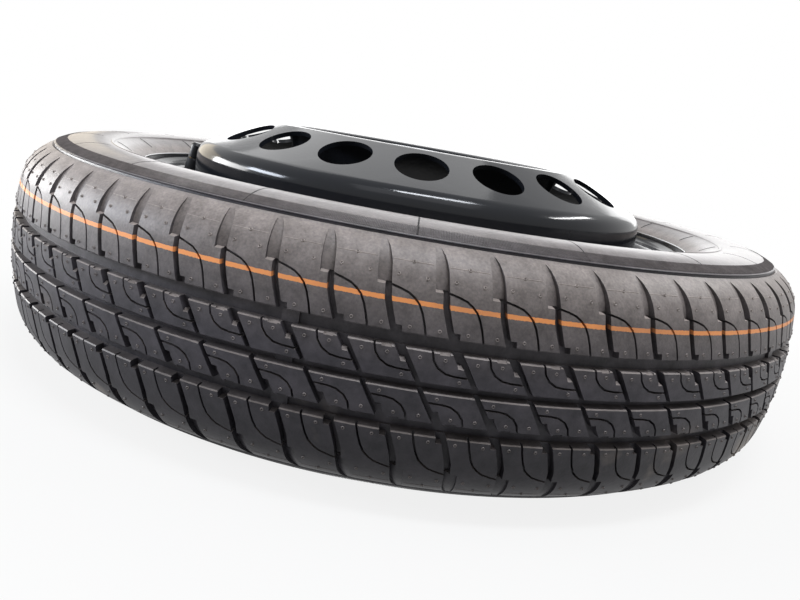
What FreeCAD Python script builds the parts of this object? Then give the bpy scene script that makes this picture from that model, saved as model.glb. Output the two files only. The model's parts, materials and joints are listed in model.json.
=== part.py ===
import FreeCAD, Part
import math
import os
import Sketcher

# Space saver spare wheel: a narrow 145/70-17 tyre on a welded steel wheel with a vented hat disc.
# Millimetres. The wheel lies flat, the hat up; the hub bore's axis is Z and the hub's seating face is z = 0.

doc = FreeCAD.newDocument("space_saver_wheel")
sheet = doc.addObject("Spreadsheet::Sheet", "sizes")
Vector = FreeCAD.Vector

SIZES = {
    # tyre
    "tyre_radius": 317.5,
    "tread_half": 43.0,
    "tread_drop": 3.8,
    "tread_thick": 13.0,
    "shoulder_depth": 22.2,
    "shoulder_bulge": 3.6,
    "side_height": 67.5,
    "side_bulge": 9.0,
    "guard_rise": 5.7,
    "guard_height": 14.7,
    "wall_thick": 8.0,
    "toe_reach": 16.8,
    # tread
    "groove_depth": 6.0,
    "groove_draft": 0.5,
    "outer_groove_at": 21.9,
    "outer_groove_wide": 6.6,
    "middle_groove_wide": 4.1,
    "slot_depth": 5.0,
    "slot_wide": 2.9,
    "shoulder_tilt": 12.0,
    "notch_deep": 3.6,
    "pitch_count": 70,
    "tread_turn": 0.54,
    # rim
    "seat_radius": 218.3,
    "rim_half": 50.8,
    "flange_height": 16.0,
    "flange_curl": 9.0,
    "lip_reach": 12.2,
    "heel_curve": 6.5,
    "seat_wide": 16.0,
    "seat_fall": 1.3,
    "well_radius": 196.6,
    "well_front": 27.0,
    "well_back": 14.0,
    "rim_thick": 2.6,
    "bead_gap": 0.3,
    # disc
    "wheel_offset": 48.0,
    "disc_thick": 3.4,
    "disc_gap": 0.3,
    "disc_draft": 1.6,
    "disc_reach": 6.0,
    "hat_height": 108.0,
    "hat_slope": 25.2,
    "crown_inner": 120.0,
    "crown_outer": 134.5,
    "crown_curve": 8.0,
    "hat_shoulder_curve": 14.0,
    "nave_radius": 92.0,
    "nave_curve": 12.0,
    "vent_count": 18,
    "vent_diameter": 38.0,
    "vent_ring_radius": 157.5,
    "hub_bore": 67.1,
    "stud_count": 5,
    "stud_circle": 114.3,
    "stud_hole": 15.0,
    "stud_seat": 18.0,
    "stud_seat_deep": 2.0,
    # weld between disc and rim
    "weld_count": 6,
    "weld_leg": 4.0,
    "weld_sweep": 36.0,
    # valve
    "valve_ring_radius": 206.4,
    "valve_lean": 10.0,
    "valve_turn": 184.0,
    "valve_hole": 11.5,
    "valve_reach": 43.0,
    "rubber_reach": 33.5,
    "bulb_radius": 6.6,
    "sleeve_radius": 5.3,
    "base_radius": 7.6,
    "base_height": 5.4,
    "stem_radius": 4.0,
    "stem_tip_radius": 3.85,
    "bond_gap": 0.05,
    "core_bore": 2.65,
    "lower_bore": 1.95,
    "pin_radius": 0.6,
    "pin_fit": 0.08,
    "barrel_radius": 1.6,
    "barrel_bore": 1.25,
    "spring_wire": 0.125,
    "spring_turns": 6,
    "cap_radius": 5.1,
    "cap_length": 13.5,
    "cap_bore": 4.15,
    "cap_top": 2.2,
}

for row, (name, value) in enumerate(SIZES.items(), start=1):
    sheet.set("A%d" % row, name.replace("_", " "))
    sheet.set("B%d" % row, str(value))
    sheet.setAlias("B%d" % row, name)
doc.recompute()


class Size:
    # a length together with the sheet expression that gives it
    def __init__(self, value, text):
        self.value = float(value)
        self.text = text

    def joined(self, other, sign, value):
        return Size(value, "(%s %s %s)" % (self.text, sign, other.text))

    def __add__(self, other):
        other = size(other)
        return self.joined(other, "+", self.value + other.value)

    def __sub__(self, other):
        other = size(other)
        return self.joined(other, "-", self.value - other.value)

    def __mul__(self, other):
        other = size(other)
        return self.joined(other, "*", self.value * other.value)

    def __truediv__(self, other):
        other = size(other)
        return self.joined(other, "/", self.value / other.value)

    def __neg__(self):
        return Size(-self.value, "(0 - %s)" % self.text)

    def tangent(self):
        return Size(math.tan(math.radians(self.value)), "tan(%s * 1 deg)" % self.text)


def size(given):
    if isinstance(given, Size):
        return given
    if isinstance(given, str):
        return Size(sheet.get(given), "sizes." + given)
    return Size(given, "%.6f" % given)


def bind(target, path, given):
    target.setExpression(path, size(given).text)


def pairs(points):
    return [(size(x), size(y)) for x, y in points]


def place_of(sketch, geometry, position):
    point = sketch.getPoint(geometry, position)
    return Vector(point.x, point.y, 0)


class Drawing:
    # collects a sketch's constraints, then binds each driven one to its cell
    def __init__(self, sketch):
        self.sketch = sketch
        self.rules = []
        self.bound = []

    def rule(self, *parts):
        self.rules.append(Sketcher.Constraint(*parts))

    def driven(self, given, *parts):
        self.bound.append((len(self.rules), given.text))
        self.rule(*parts, given.value)

    def pin(self, geometry, position, point):
        self.driven(point[0], "DistanceX", -1, 1, geometry, position)
        self.driven(point[1], "DistanceY", -1, 1, geometry, position)

    def close(self):
        first = self.sketch.ConstraintCount
        self.sketch.addConstraint(self.rules)
        for index, text in self.bound:
            self.sketch.setExpression("Constraints[%d]" % (first + index), text)


def outline(sketch, points, bulges=None):
    # closed outline through the points; a bulge turns the side after its point into an arc of that height
    points = pairs(points)
    bulges = bulges or {}
    drawing = Drawing(sketch)
    ends = []
    for index, start in enumerate(points):
        end = points[(index + 1) % len(points)]
        a = Vector(start[0].value, start[1].value, 0)
        b = Vector(end[0].value, end[1].value, 0)
        if index not in bulges:
            number = sketch.addGeometry(Part.LineSegment(a, b))
            ends.append((number, 1, 2))
            continue
        height, side = size(bulges[index][0]), bulges[index][1]
        along = b - a
        across = Vector(along.y, -along.x, 0).normalize()
        middle = (a + b) * 0.5 + across * (height.value * side)
        number = sketch.addGeometry(Part.Arc(a, middle, b))
        forward = place_of(sketch, number, 1).distanceToPoint(a) < place_of(sketch, number, 2).distanceToPoint(a)
        ends.append((number, 1, 2) if forward else (number, 2, 1))
        wide, tall = end[0] - start[0], end[1] - start[1]
        radius = ((wide * wide + tall * tall) / 4 + height * height) / (height * 2)
        drawing.driven(radius, "Radius", number)
    for index, point in enumerate(points):
        number, first, _ = ends[index]
        before, _, last = ends[index - 1]
        drawing.rule("Coincident", before, last, number, first)
        drawing.pin(number, first, point)
    drawing.close()


def bent_path(sketch, corners, curves):
    # open path through the corners, each inner corner rounded to its own radius
    corners = pairs(corners)
    curves = [size(radius) for radius in curves]
    drawing = Drawing(sketch)
    flat = [Vector(x.value, y.value, 0) for x, y in corners]
    starts, stops = [flat[0]], []
    arcs = []
    for before, here, after, radius in zip(flat, flat[1:], flat[2:], curves):
        back = (before - here).normalize()
        ahead = (after - here).normalize()
        half = back.getAngle(ahead) / 2
        reach = radius.value / math.tan(half)
        bisector = (back + ahead).normalize()
        centre = here + bisector * (radius.value / math.sin(half))
        stops.append(here + back * reach)
        starts.append(here + ahead * reach)
        arcs.append(Part.Arc(stops[-1], centre - bisector * radius.value, starts[-1]))
    stops.append(flat[-1])
    lines = [sketch.addGeometry(Part.LineSegment(a, b)) for a, b in zip(starts, stops)]
    for index, (arc, radius) in enumerate(zip(arcs, curves)):
        number = sketch.addGeometry(arc)
        mark = sketch.addGeometry(Part.Point(flat[index + 1]), True)
        near = place_of(sketch, number, 1).distanceToPoint(stops[index])
        far = place_of(sketch, number, 2).distanceToPoint(stops[index])
        first, last = (1, 2) if near < far else (2, 1)
        drawing.rule("Tangent", lines[index], 2, number, first)
        drawing.rule("Tangent", number, last, lines[index + 1], 1)
        drawing.rule("PointOnObject", mark, 1, lines[index])
        drawing.rule("PointOnObject", mark, 1, lines[index + 1])
        drawing.driven(radius, "Radius", number)
        drawing.pin(mark, 1, corners[index + 1])
    drawing.pin(lines[0], 1, corners[0])
    drawing.pin(lines[-1], 2, corners[-1])
    drawing.close()


def origin_plane(body, role):
    return [item for item in body.Origin.OriginFeatures if item.Role == role][0]


def new_body(name):
    return doc.addObject("PartDesign::Body", name)


def side_sketch(body, name):
    sketch = body.newObject("Sketcher::SketchObject", name)
    sketch.AttachmentSupport = (origin_plane(body, "XZ_Plane"), [""])
    sketch.MapMode = "FlatFace"
    return sketch


def turned(body, name, points, bulges=None, kind="Revolution"):
    sketch = side_sketch(body, name + "_section")
    outline(sketch, points, bulges)
    feature = body.newObject("PartDesign::" + kind, name)
    feature.Profile = sketch
    feature.ReferenceAxis = (sketch, ["V_Axis"])
    feature.Angle = 360
    doc.recompute()
    return feature


def sheet_ring(name, corners, curves, thick, side=1):
    # pressed sheet: a bent path given its thickness, turned about the wheel's axis
    path = doc.addObject("Sketcher::SketchObject", name + "_path")
    path.Placement = FreeCAD.Placement(Vector(0, 0, 0), FreeCAD.Rotation(Vector(1, 0, 0), 90))
    bent_path(path, corners, curves)
    doc.recompute()
    section = doc.addObject("Part::Offset2D", name + "_section")
    section.Source = path
    section.Mode = "Skin"
    section.Fill = True
    bind(section, "Value", size(thick) * side)
    ring = doc.addObject("Part::Revolution", name + "_ring")
    ring.Source = section
    ring.Axis = Vector(0, 0, 1)
    ring.Angle = 360
    ring.Solid = True
    doc.recompute()
    return ring


def cut(name, base, tools):
    group = doc.addObject("Part::Compound", name + "_tools")
    group.Links = tools
    result = doc.addObject("Part::Cut", name)
    result.Base = base
    result.Tool = group
    doc.recompute()
    return result


def val(name):
    return sheet.get(name)


# tyre

flange_radius = size("seat_radius") + "flange_height"
tread_edge = size("tyre_radius") - "tread_drop"
ring_radius = size("tyre_radius") - "shoulder_depth"
guard_radius = flange_radius + "guard_rise"
guard_level = size("rim_half") + "guard_height"
curl_radius = flange_radius - "flange_curl"
heel_radius = size("seat_radius") + "heel_curve"
inner_edge = tread_edge - "tread_thick"
toe_level = size("rim_half") - "toe_reach"
inner_side = size("side_height") + "side_bulge" - 1.0 - "wall_thick"

half_section = [
    (tread_edge, size("tread_half"), ("shoulder_bulge", 1)),
    (ring_radius, size("side_height"), ("side_bulge", 1)),
    (guard_radius, guard_level, None),
    (flange_radius + "bead_gap", size("rim_half") + "flange_curl", None),
    (curl_radius, size("rim_half") - "bead_gap", None),
    (heel_radius, size("rim_half") - "bead_gap", None),
    (size("seat_radius") + "bead_gap", size("rim_half") - "heel_curve", None),
    (size("seat_radius") + "bead_gap" - "seat_fall", toe_level, None),
    (size("seat_radius") + 5.5, toe_level - 1.0, (3.0, -1)),
    ((ring_radius + "seat_radius") / 2 + 6.0, inner_side, (3.0, -1)),
    (inner_edge, size("tread_half") + 3.0, None),
]
# the flange curl and the heel hold the bead in quarter rounds
quarter = 1 - math.sqrt(0.5)
half_section[3] = half_section[3][:2] + (((size("flange_curl") + "bead_gap") * quarter, -1),)
half_section[5] = half_section[5][:2] + (((size("heel_curve") - "bead_gap") * quarter, 1),)

section = []
section_bulges = {}
for radius, level, bulge in half_section:
    if bulge:
        section_bulges[len(section)] = bulge
    section.append((radius, level))
section_bulges[len(section) - 1] = (4.0, -1)
lower = [(radius, -level) for radius, level, _ in reversed(half_section)]
for index, bulge in enumerate(item[2] for item in reversed(half_section[:-1])):
    if bulge:
        section_bulges[len(section) + index] = bulge
section += lower
section_bulges[len(section) - 1] = ("tread_drop", 1)

tyre = new_body("tyre")
turned(tyre, "carcass", section, section_bulges)

groove_floor = size("tyre_radius") - "groove_depth"
groove_top = size("tyre_radius") + 1.0
for name, centre, wide in (
    ("upper_groove", size("outer_groove_at"), size("outer_groove_wide")),
    ("middle_groove", size(0), size("middle_groove_wide")),
    ("lower_groove", -size("outer_groove_at"), size("outer_groove_wide")),
):
    top, foot = wide / 2, wide / 2 - "groove_draft"
    turned(tyre, name, [
        (groove_floor, centre - foot),
        (groove_top, centre - top),
        (groove_top, centre + top),
        (groove_floor, centre + foot),
    ], kind="Groove")


def slot(name, points, tilt, height, depth):
    # a lateral slot of one pitch, cut inward from a plane just outside the tread
    sketch = side_sketch(tyre, name + "_outline")
    turn = FreeCAD.Rotation(Vector(1, 0, 0), tilt)
    out = val("tyre_radius") + 1.0
    lift = Vector(0, height, out) - turn.multVec(Vector(0, height, 0))
    sketch.AttachmentOffset = FreeCAD.Placement(lift, turn)
    outline(sketch, points)
    feature = tyre.newObject("PartDesign::Pocket", name)
    feature.Profile = sketch
    feature.Type = "Length"
    bind(feature, "Length", depth)
    doc.recompute()
    return feature


wide = size("slot_wide")
row_edge = size("outer_groove_at") + size("outer_groove_wide") / 2
inner_edge_of_row = size("outer_groove_at") - size("outer_groove_wide") / 2
mid_edge = size("middle_groove_wide") / 2
# seen from outside with the hat up, about the middle of one pitch
notch_top = row_edge + "notch_deep"
notch_foot = inner_edge_of_row + 1.3
shoulder_slot = [
    (size(-3.5), row_edge - 1.2),
    (size(-9.6), size(40.4)),
    (size(-10.3), size(47.5)),
    (size(-14.1), size(47.5)),
    (size(-15.6), size(67.0)),
    (size(-11.4), size(67.0)),
    (size(-10.3) + wide, size(47.5)),
    (size(-9.3) + wide, size(40.4)),
    (size(-2.4), notch_top),
    (size(0.9), notch_top),
    (size(1.4), row_edge - 1.2),
]
middle_slot = [
    (size(3.7), notch_foot),
    (size(15.5), mid_edge - 1.0),
    (size(15.5) - wide, mid_edge - 1.0),
    (size(4.8), inner_edge_of_row - "notch_deep" - 2.2),
    (size(2.4), inner_edge_of_row - "notch_deep" - 1.9),
    (size(-1.9), notch_foot),
]
slots = []
for side, label in ((1, "upper"), (-1, "lower")):
    slots.append(slot(
        label + "_shoulder_slot", [(x * side, y * side) for x, y in shoulder_slot],
        -val("shoulder_tilt") * side, row_edge.value * side, size("slot_depth") + 2.3))
    slots.append(slot(
        label + "_middle_slot", [(x * side, y * side) for x, y in middle_slot],
        0, 0, size("slot_depth") + 1.0))
tread = tyre.newObject("PartDesign::PolarPattern", "tread")
tread.Originals = slots
tread.Axis = (origin_plane(tyre, "Z_Axis"), [""])
tread.Angle = 360
tread.Refine = False
bind(tread, "Occurrences", "pitch_count")
tyre.Tip = tread
bind(tyre, "Placement.Base.z", -size("wheel_offset"))
bind(tyre, "Placement.Rotation.Angle", "tread_turn")
doc.recompute()

# rim, rolled from one strip

well_top = size("seat_radius") - "seat_fall"
ledge = size("rim_half") - "seat_wide"
wall_rise = (well_top - "well_radius") * size("valve_lean").tangent()
rim_ring = sheet_ring("rim", [
    (flange_radius, -(size("rim_half") + "lip_reach")),
    (flange_radius, -size("rim_half")),
    (size("seat_radius"), -size("rim_half")),
    (well_top, -ledge),
    (size("well_radius"), -size("well_back")),
    (size("well_radius"), size("well_front")),
    (well_top, size("well_front") + wall_rise),
    (size("seat_radius"), size("rim_half")),
    (flange_radius, size("rim_half")),
    (flange_radius, size("rim_half") + "lip_reach"),
], ["flange_curl", "heel_curve", 5.0, 8.0, 2.5, 3.6, "heel_curve", "flange_curl"], "rim_thick")

# the valve stands square to the well's front wall
lean = math.radians(val("valve_lean"))
wall_level = val("well_front") + (val("valve_ring_radius") - val("well_radius")) * math.tan(lean)
valve_front = Vector(
    val("valve_ring_radius") - math.sin(lean) * val("rim_thick"), 0,
    wall_level + math.cos(lean) * val("rim_thick") - val("wheel_offset"))
valve_tilt = FreeCAD.Rotation(Vector(0, 1, 0), -val("valve_lean"))
valve_round = FreeCAD.Placement(Vector(0, 0, 0), FreeCAD.Rotation(Vector(0, 0, 1), val("valve_turn")))
valve_place = valve_round.multiply(FreeCAD.Placement(valve_front, valve_tilt))

bind(rim_ring, "Placement.Base.z", -size("wheel_offset"))
valve_cutter = doc.addObject("Part::Cylinder", "valve_cutter")
bind(valve_cutter, "Radius", size("valve_hole") / 2)
bind(valve_cutter, "Height", size("rim_thick") * 4)
valve_cutter.Placement = valve_place.multiply(
    FreeCAD.Placement(Vector(0, 0, -2.5 * val("rim_thick")), FreeCAD.Rotation()))
wheel_rim = cut("wheel_rim", rim_ring, [valve_cutter])

# disc, pressed from plate

disc_wall = size("well_radius") - "rim_thick" - "disc_gap"
hat_wall = disc_wall - "disc_draft"
slope = size("hat_slope").tangent()
hat_corner = size("hat_height") - (hat_wall - "crown_outer") * slope
nave_top = size("wheel_offset") + "disc_thick"
disc_ring = sheet_ring("disc", [
    (size("hub_bore") / 2, nave_top),
    (size("nave_radius"), nave_top),
    (size("crown_inner"), size("hat_height")),
    (size("crown_outer"), size("hat_height")),
    (hat_wall, hat_corner),
    (disc_wall, size("well_front")),
    (disc_wall, -size("disc_reach")),
], ["nave_curve", 7.0, "crown_curve", "hat_shoulder_curve", 200.0], "disc_thick", -1)
bind(disc_ring, "Placement.Base.z", -size("wheel_offset"))


def ring_of_tools(kind, name, count, radius, level, tilt, drop, sizes):
    tools = []
    for number in range(count):
        tool = doc.addObject("Part::" + kind, "%s_%d" % (name, number + 1))
        for path, given in sizes.items():
            bind(tool, path, given)
        stand = FreeCAD.Placement(Vector(radius, 0, level), FreeCAD.Rotation(Vector(0, 1, 0), tilt))
        spin = FreeCAD.Rotation(Vector(0, 0, 1), -90.0 + 360.0 * number / count)
        lower_end = FreeCAD.Placement(Vector(0, 0, -drop), FreeCAD.Rotation())
        tool.Placement = FreeCAD.Placement(Vector(0, 0, 0), spin).multiply(stand).multiply(lower_end)
        tools.append(tool)
    return tools


vent_level = (
    val("hat_height") - val("wheel_offset")
    - (val("vent_ring_radius") - val("crown_outer")) * math.tan(math.radians(val("hat_slope"))))
vents = ring_of_tools(
    "Cylinder", "vent_cutter", int(val("vent_count")), val("vent_ring_radius"), vent_level, val("hat_slope"),
    2.5 * val("disc_thick"), {"Radius": size("vent_diameter") / 2, "Height": size("disc_thick") * 4})
stud_ring = val("stud_circle") / 2
holes = ring_of_tools(
    "Cylinder", "stud_cutter", int(val("stud_count")), stud_ring, 0, 0, val("disc_thick"),
    {"Radius": size("stud_hole") / 2, "Height": size("disc_thick") * 3})
seat_slope = size(30.0).tangent()
seats = ring_of_tools(
    "Cone", "seat_cutter", int(val("stud_count")), stud_ring, val("disc_thick"), 0, val("stud_seat_deep"),
    {"Radius1": size("stud_seat") / 2 - size("stud_seat_deep") * seat_slope,
     "Radius2": size("stud_seat") / 2 + size("disc_thick") * seat_slope,
     "Height": size("stud_seat_deep") + "disc_thick"})
pierced = cut("pierced_disc", disc_ring, vents + holes)
wheel_disc = cut("wheel_disc", pierced, seats)

# fillet welds where the disc's edge meets the inside of the well

weld_sketch = doc.addObject("Sketcher::SketchObject", "weld_section")
weld_sketch.Placement = FreeCAD.Placement(Vector(0, 0, 0), FreeCAD.Rotation(Vector(1, 0, 0), 90))
weld_outer = disc_wall + "disc_gap" - "bond_gap"
weld_top = -size("disc_reach") - "bond_gap"
outline(weld_sketch, [
    (weld_outer - "weld_leg", weld_top),
    (weld_outer - size("weld_leg") * 0.55, weld_top - size("weld_leg") * 0.7),
    (weld_outer, weld_top - "weld_leg"),
    (weld_outer, weld_top),
])
doc.recompute()
welds = []
for number in range(int(val("weld_count"))):
    weld = doc.addObject("Part::Revolution", "weld_%d" % (number + 1))
    weld.Source = weld_sketch
    weld.Axis = Vector(0, 0, 1)
    bind(weld, "Angle", "weld_sweep")
    weld.Solid = True
    spin = FreeCAD.Rotation(Vector(0, 0, 1), 360.0 * number / val("weld_count") + 12.0)
    weld.Placement = FreeCAD.Placement(Vector(0, 0, -val("wheel_offset")), spin)
    welds.append(weld)
disc_welds = doc.addObject("Part::Compound", "disc_welds")
disc_welds.Links = welds
doc.recompute()

# valve, drawn along its own axis from the rim's front face

tip = size("valve_reach")
rubber_end = size("rubber_reach")
neck_radius = size("valve_hole") / 2 - 0.1
back_face = -size("rim_thick") - "bead_gap"
base_end = back_face - "base_height"
stem_foot = base_end + 1.5
socket = size("stem_radius") + "bond_gap"
core_top = tip - 2.4
plug_foot = core_top - 5.0
cone_top = plug_foot - 0.4
cone_foot = cone_top - 2.9
barrel_foot = plug_foot - 9.6
cup_top = barrel_foot - 0.4


def valve_piece(name, points):
    body = new_body(name)
    turned(body, name + "_turned", points)
    body.Placement = valve_place
    return body


def ring_section(inner, outer, foot, top):
    return [(size(inner), foot), (size(outer), foot), (size(outer), top), (size(inner), top)]


valve_body = valve_piece("valve_body", [
    (socket, base_end),
    (size("base_radius") - 1.8, base_end),
    (size("base_radius"), base_end + 2.6),
    (size("base_radius") - 0.4, back_face),
    (neck_radius, back_face),
    (neck_radius, size("bead_gap")),
    (size("bulb_radius"), size("bead_gap") + 0.8),
    (size("bulb_radius") - 0.2, size(3.4)),
    (size("sleeve_radius") + 0.5, size(11.0)),
    (size("sleeve_radius"), rubber_end - 0.6),
    (size("sleeve_radius") - 0.6, rubber_end),
    (socket, rubber_end),
])
valve_stem = valve_piece("valve_stem", [
    (size("lower_bore") - 0.5, stem_foot),
    (size("stem_radius"), stem_foot),
    (size("stem_radius"), rubber_end),
    (size("stem_tip_radius"), rubber_end + 0.3),
    (size("stem_tip_radius"), tip - 0.6),
    (size("stem_tip_radius") - 0.6, tip),
    (size("core_bore"), tip),
    (size("core_bore"), cone_top),
    (size("lower_bore"), cone_foot),
    (size("lower_bore"), barrel_foot - 6.0),
    (size("lower_bore") - 0.5, barrel_foot - 6.6),
])
core_plug = valve_piece("core_plug", ring_section(
    size("pin_radius") + 0.45, size("core_bore") - "bond_gap", plug_foot, core_top))
core_barrel = valve_piece("core_barrel", [
    (size("pin_radius") + "pin_fit", barrel_foot),
    (size("barrel_radius"), barrel_foot),
    (size("barrel_radius"), plug_foot - "bond_gap"),
    (size("barrel_bore"), plug_foot - "bond_gap"),
    (size("barrel_bore"), barrel_foot + 0.9),
    (size("pin_radius") + "pin_fit", barrel_foot + 0.9),
])
core_gasket = valve_piece("core_gasket", [
    (size("barrel_radius") + "bond_gap", cone_foot + 0.5),
    (size("lower_bore"), cone_foot + 0.5),
    (size("core_bore") - 0.2, cone_top - 0.3),
    (size("barrel_radius") + "bond_gap", cone_top - 0.3),
])
collar_top = plug_foot - 0.6
core_pin = valve_piece("core_pin", [
    (size(0), cup_top - 1.2),
    (size("pin_radius"), cup_top - 1.2),
    (size("pin_radius"), collar_top - 0.6),
    (size("barrel_bore") - 0.2, collar_top - 0.6),
    (size("barrel_bore") - 0.2, collar_top),
    (size("pin_radius"), collar_top),
    (size("pin_radius"), tip - 0.7),
    (size("pin_radius") - 0.2, tip - 0.5),
    (size(0), tip - 0.5),
])
cup_hole = size("pin_radius") + "bond_gap"
core_cup = valve_piece("core_cup", [
    (cup_hole, cup_top - 1.2),
    (size("barrel_radius") - 0.35, cup_top - 1.2),
    (size("barrel_radius"), cup_top - 0.8),
    (size("barrel_radius"), cup_top),
    (size("barrel_radius") - 0.2, cup_top),
    (size("barrel_radius") - 0.2, cup_top - 0.35),
    (cup_hole, cup_top - 0.35),
])
core_cup_seal = valve_piece("core_cup_seal", ring_section(
    cup_hole, size("barrel_radius") - 0.25, cup_top - 0.3, cup_top + 0.35))

# spring under the pin's collar
coil_radius = (size("barrel_bore") + "pin_radius") / 2
spring_foot = barrel_foot + 0.9 + size("spring_wire") * 1.4
spring_height = collar_top - 0.6 - size("spring_wire") * 1.4 - spring_foot
coil = doc.addObject("Part::Helix", "spring_coil")
bind(coil, "Radius", coil_radius)
bind(coil, "Height", spring_height)
bind(coil, "Pitch", spring_height / "spring_turns")
wire = doc.addObject("Part::Circle", "spring_wire_section")
bind(wire, "Radius", "spring_wire")
wire.Placement = FreeCAD.Placement(
    Vector(coil_radius.value, 0, 0), FreeCAD.Rotation(Vector(1, 0, 0), 90))
core_spring = doc.addObject("Part::Sweep", "core_spring")
core_spring.Spine = (coil, ["Edge1"])
core_spring.Sections = [wire]
core_spring.Solid = True
core_spring.Frenet = True
core_spring.Placement = valve_place.multiply(
    FreeCAD.Placement(Vector(0, 0, spring_foot.value), FreeCAD.Rotation()))

cap_foot = rubber_end + 0.5
cap_end = cap_foot + "cap_length"
valve_cap = valve_piece("valve_cap", [
    (size("cap_bore"), cap_foot),
    (size("cap_radius"), cap_foot),
    (size("cap_radius") - 0.15, cap_end - 2.4),
    (size("cap_radius") - 1.3, cap_end - 0.4),
    (size("cap_radius") - 2.2, cap_end),
    (size(0), cap_end),
    (size(0), cap_end - "cap_top"),
    (size("cap_bore"), cap_end - "cap_top"),
])
valve_cap_seal = valve_piece("valve_cap_seal", ring_section(
    size("pin_radius") + 0.6, size("cap_bore") - 0.3, tip + 0.4, cap_end - "cap_top" - "bond_gap"))
doc.recompute()

pieces = {
    "tyre": tyre,
    "wheel_rim": wheel_rim,
    "wheel_disc": wheel_disc,
    "disc_welds": disc_welds,
    "valve_body": valve_body,
    "valve_stem": valve_stem,
    "core_plug": core_plug,
    "core_barrel": core_barrel,
    "core_gasket": core_gasket,
    "core_pin": core_pin,
    "core_cup": core_cup,
    "core_cup_seal": core_cup_seal,
    "core_spring": core_spring,
    "valve_cap": valve_cap,
    "valve_cap_seal": valve_cap_seal,
}
faults = [item.Name for item in doc.Objects if "Invalid" in item.State or "Error" in item.State]
for label, piece in pieces.items():
    if piece.Shape.isNull() or not piece.Shape.isValid() or piece.Shape.Volume <= 0:
        faults.append(label)
if faults:
    raise RuntimeError("not built: " + ", ".join(faults))
os.makedirs("parts", exist_ok=True)
for label, piece in pieces.items():
    piece.Shape.exportStep("parts/%s.step" % label)
    print(label, len(piece.Shape.Solids), "solids", round(piece.Shape.Volume), "mm3")
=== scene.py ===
import json
import math

import bpy
from mathutils import Matrix, Vector


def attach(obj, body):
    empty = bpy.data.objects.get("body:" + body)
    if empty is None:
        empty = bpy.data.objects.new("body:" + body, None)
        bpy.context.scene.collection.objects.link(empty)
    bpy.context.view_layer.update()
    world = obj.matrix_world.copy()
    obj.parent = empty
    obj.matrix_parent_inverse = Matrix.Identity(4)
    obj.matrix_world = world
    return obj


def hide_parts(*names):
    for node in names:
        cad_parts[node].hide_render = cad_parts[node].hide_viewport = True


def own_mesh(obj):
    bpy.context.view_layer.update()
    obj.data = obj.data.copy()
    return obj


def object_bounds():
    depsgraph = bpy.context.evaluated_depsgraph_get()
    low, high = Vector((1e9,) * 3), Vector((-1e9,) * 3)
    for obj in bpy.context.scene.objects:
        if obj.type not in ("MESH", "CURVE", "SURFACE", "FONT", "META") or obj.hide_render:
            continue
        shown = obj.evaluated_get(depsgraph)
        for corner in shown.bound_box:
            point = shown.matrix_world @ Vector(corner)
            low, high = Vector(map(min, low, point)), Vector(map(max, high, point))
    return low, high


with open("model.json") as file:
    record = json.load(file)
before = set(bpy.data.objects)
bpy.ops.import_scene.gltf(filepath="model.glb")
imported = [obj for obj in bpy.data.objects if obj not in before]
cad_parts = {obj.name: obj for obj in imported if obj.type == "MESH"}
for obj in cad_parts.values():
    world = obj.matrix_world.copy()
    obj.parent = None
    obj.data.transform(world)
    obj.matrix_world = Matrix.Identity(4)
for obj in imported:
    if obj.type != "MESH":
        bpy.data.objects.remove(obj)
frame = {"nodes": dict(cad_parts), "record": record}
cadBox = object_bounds()
mm = 0.001
hubToMiddle = 48.0  # the tyre's middle plane lies this far below the hub face
weldGap = 0.00002  # points closer than this many metres become one
print("frame loaded,", len(frame["nodes"]), "CAD nodes")


# small helpers

def linear(hexColour):
    parts = [int(hexColour[i:i + 2], 16) / 255 for i in (1, 3, 5)]
    return tuple(p / 12.92 if p <= 0.04045 else ((p + 0.055) / 1.055) ** 2.4 for p in parts) + (1.0,)


def endEdit():
    bpy.ops.object.mode_set(mode="OBJECT")


def deselectAll():
    if bpy.context.mode != "OBJECT":
        endEdit()
    bpy.ops.object.select_all(action="DESELECT")


def makeActive(piece):
    deselectAll()
    piece.select_set(True)
    bpy.context.view_layer.objects.active = piece


def editAll(piece):
    makeActive(piece)
    bpy.ops.object.mode_set(mode="EDIT")
    bpy.ops.mesh.select_all(action="SELECT")


def pickFaces(piece):
    # face picking, with nothing picked yet
    bpy.context.tool_settings.mesh_select_mode = (False, False, True)
    for part in (piece.data.vertices, piece.data.edges, piece.data.polygons):
        part.foreach_set("select", [False] * len(part))


def settle():
    # the active piece's place, turn and scale go into its mesh
    bpy.ops.object.transform_apply(location=True, rotation=True, scale=True)
    return bpy.context.active_object


def newLoop(spots, fill="NOTHING"):
    # a closed loop of edges through the spots, or a flat face with fill NGON
    deselectAll()
    bpy.ops.mesh.primitive_circle_add(vertices=len(spots), fill_type=fill)
    loop = bpy.context.active_object
    for vertex, spot in zip(loop.data.vertices, spots):
        vertex.co = spot
    return loop


def newGrid(columns, rows):
    # a flat grid from -0.5 to 0.5 both ways
    deselectAll()
    bpy.ops.mesh.primitive_grid_add(x_subdivisions=columns, y_subdivisions=rows, size=1)
    return bpy.context.active_object


def newCube(place, sizes):
    deselectAll()
    bpy.ops.mesh.primitive_cube_add(size=1, location=place, scale=sizes)
    return settle()


def extrude(piece, rise):
    # a closed block from a sheet
    editAll(piece)
    bpy.ops.mesh.extrude_region_move(TRANSFORM_OT_translate={"value": (0, 0, rise)})
    bpy.ops.mesh.select_all(action="SELECT")
    bpy.ops.mesh.normals_make_consistent(inside=False)
    endEdit()
    return piece


def outlineBlock(points, top, bottom):
    return extrude(newLoop([(x, y, top) for x, y in points], "NGON"), bottom - top)


def makeTriangles():
    bpy.ops.mesh.select_all(action="SELECT")
    bpy.ops.mesh.quads_convert_to_tris(quad_method="BEAUTY", ngon_method="BEAUTY")


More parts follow.
